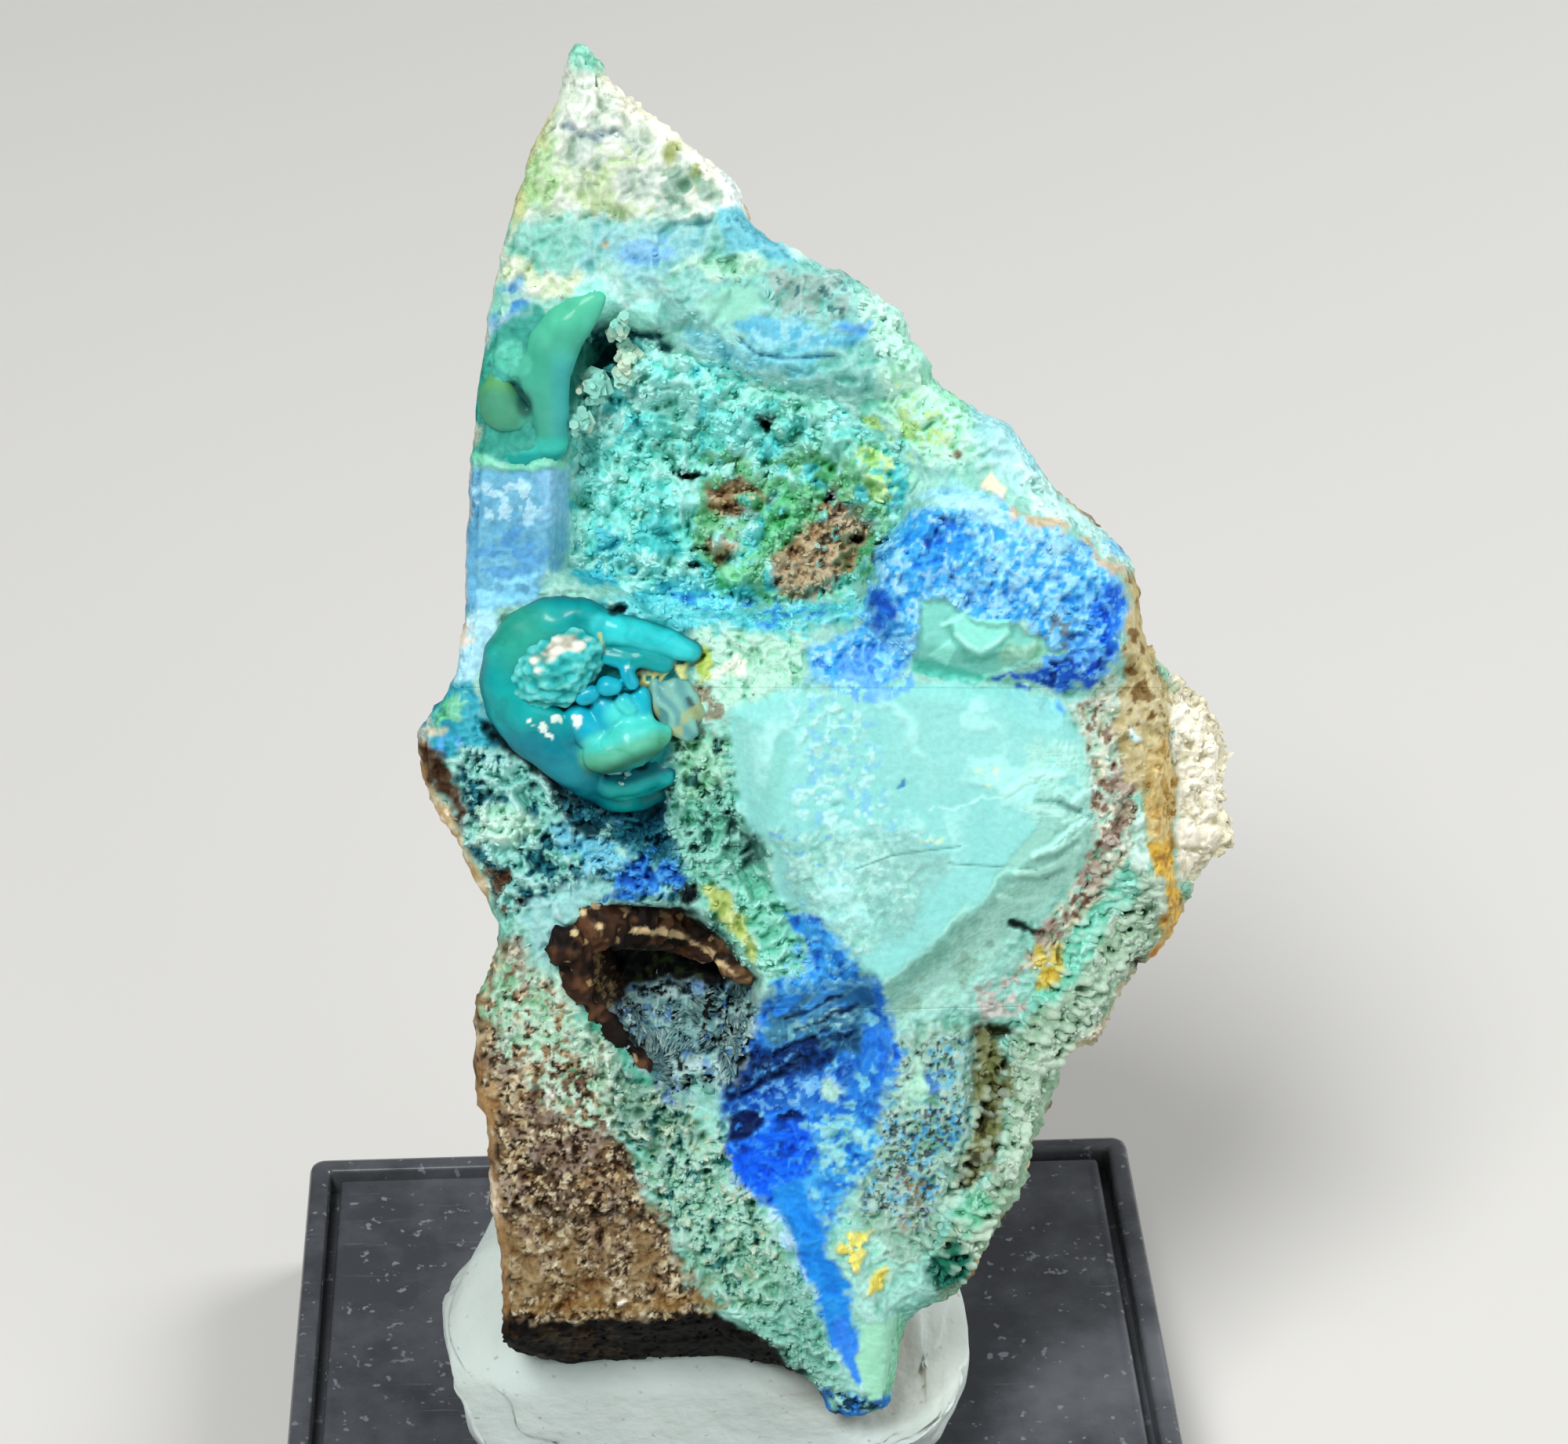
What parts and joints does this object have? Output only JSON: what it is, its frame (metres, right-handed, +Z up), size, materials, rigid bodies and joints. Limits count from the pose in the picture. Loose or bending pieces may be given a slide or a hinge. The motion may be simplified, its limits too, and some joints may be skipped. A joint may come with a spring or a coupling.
{
  "type": "cyanotrichite mineral specimen on a display base",
  "caption": "Upright slab of copper minerals, blue, teal and mint crusts with waxy rolls and a lined pocket, held in white putty on a square black display base",
  "frame": {"origin": "centre of the display base's underside", "axes": "+Z up, +X to the right and +Y to the back as the specimen's face is seen from the front"},
  "size_m": [0.0328, 0.0318, 0.0551],
  "materials": {
    "mineral_crust": "rough copper mineral crust on iron-stained rock, with waxy and powdery areas",
    "vug_crystals": "lumpy micro-crystal crust, matt with fine sparkle",
    "pocket_crystals": "blue-grey tufts of fine needles, silky",
    "white_putty": "smooth pressed putty, satin",
    "black_plastic": "moulded glossy black plastic, a little dusty"
  },
  "bodies": {
    "root": {"specimen_rock": "mineral_crust", "vug_crust": "vug_crystals", "pocket_crust": "pocket_crystals", "mineral_tack": "white_putty", "display_base": "black_plastic"}
  },
  "joints": []
}
